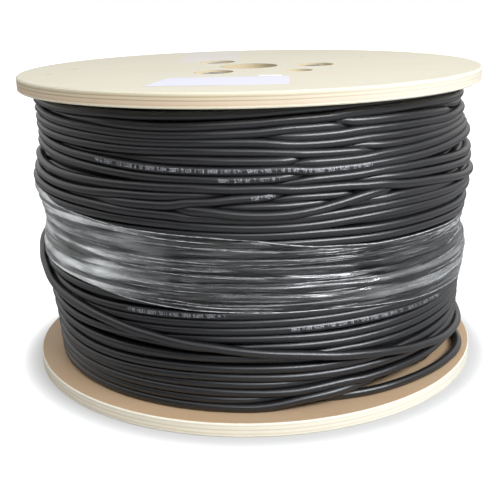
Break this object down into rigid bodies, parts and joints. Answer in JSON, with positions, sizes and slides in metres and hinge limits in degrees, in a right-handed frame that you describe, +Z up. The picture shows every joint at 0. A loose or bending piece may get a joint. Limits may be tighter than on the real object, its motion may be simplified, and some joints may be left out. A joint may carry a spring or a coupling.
{
  "type": "spool of cable",
  "caption": "Plywood cable drum full of black round cable, with a clear film round the middle of the winding and a slack turn on the lower flange.",
  "frame": {"origin": "centre of the lower flange's underside, on the drum's axis", "axes": "+Z up along the drum's axis, -Y towards the front, +X to the right"},
  "size_m": [0.35, 0.35, 0.225],
  "materials": {
    "plywood": "sanded birch plywood, bare",
    "fibre_tube": "spirally wound board, matt",
    "zinc_steel": "zinc plated, dull",
    "cable_jacket": "satin black jacket",
    "clear_film": "clear stretch film, glossy and wrinkled"
  },
  "bodies": {
    "root": {"bottom_flange": "plywood", "top_flange": "plywood", "barrel": "fibre_tube", "tie_rod_1": "zinc_steel", "tie_rod_2": "zinc_steel", "tie_rod_3": "zinc_steel", "nut_top_1": "zinc_steel", "nut_top_2": "zinc_steel", "nut_top_3": "zinc_steel", "nut_bottom_1": "zinc_steel", "nut_bottom_2": "zinc_steel", "nut_bottom_3": "zinc_steel", "washer_top_1": "zinc_steel", "washer_top_2": "zinc_steel", "washer_top_3": "zinc_steel", "washer_bottom_1": "zinc_steel", "washer_bottom_2": "zinc_steel", "washer_bottom_3": "zinc_steel", "cable_winding": "cable_jacket", "stretch_film": "clear_film", "loose_turn": "cable_jacket"}
  },
  "joints": []
}
